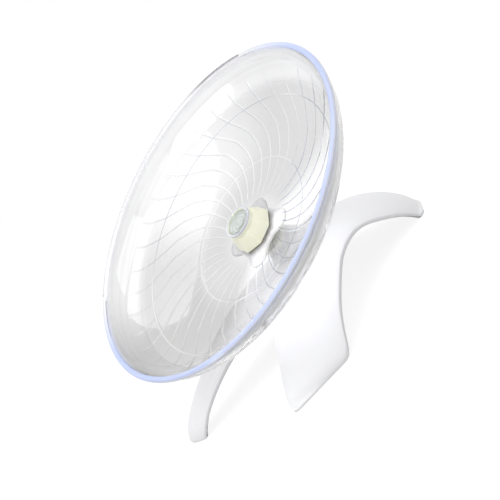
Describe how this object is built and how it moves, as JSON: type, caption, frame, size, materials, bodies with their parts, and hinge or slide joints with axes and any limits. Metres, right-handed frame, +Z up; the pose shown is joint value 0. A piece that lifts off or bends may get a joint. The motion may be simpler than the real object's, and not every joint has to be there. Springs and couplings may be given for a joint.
{
  "type": "flying saucer wheel",
  "caption": "Small-pet exercise wheel: a clear, ribbed saucer that spins freely on a tilted ball-bearing hub above a white four-legged stand.",
  "frame": {"origin": "on the floor, straight below the middle of the saucer's lip", "axes": "-Y is the stand's front, where its long legs are and towards which the saucer mostly tilts, and +Z is up"},
  "size_m": [0.179, 0.1644, 0.1226],
  "materials": {
    "clear_plastic": "clear, polished",
    "cream_plastic": "satin",
    "badge_grey": "matt",
    "frosted_plastic": "frosted",
    "white_plastic": "satin",
    "steel": "ground",
    "cage_brass": "plain"
  },
  "bodies": {
    "stand": {"stand_base": "white_plastic", "base_washer": "steel", "base_screw": "steel", "neck": "white_plastic", "axle_pin": "steel", "axle_nut": "steel", "axle_washer": "steel", "bearing_spacer": "steel", "bearing_inner_race": "steel"},
    "saucer": {"saucer_dish": "clear_plastic", "hub_housing": "cream_plastic", "hub_badge": "badge_grey", "hub_lens": "clear_plastic", "hub_lock_nut": "frosted_plastic", "bearing_outer_race": "steel", "bearing_retainer": "steel", "bearing_shield_upper": "steel", "bearing_shield_lower": "steel"},
    "cage": {"bearing_cage": "cage_brass", "bearing_ball_1": "steel", "bearing_ball_2": "steel", "bearing_ball_3": "steel", "bearing_ball_4": "steel", "bearing_ball_5": "steel", "bearing_ball_6": "steel", "bearing_ball_7": "steel"}
  },
  "joints": [
    {"name": "saucer_spin", "type": "hinge", "parent": "stand", "child": "saucer", "pos_m": [-0.00404, 0.0122, 0.05581], "axis": [0.1386, -0.4192, 0.8973], "continuous": true},
    {"name": "cage_spin", "type": "hinge", "parent": "saucer", "child": "cage", "pos_m": [-0.00404, 0.0122, 0.05581], "axis": [0.1386, -0.4192, 0.8973], "continuous": true}
  ],
  "couplings": [
    {"joint": "cage_spin", "follows": "saucer_spin", "ratio": -0.431}
  ]
}
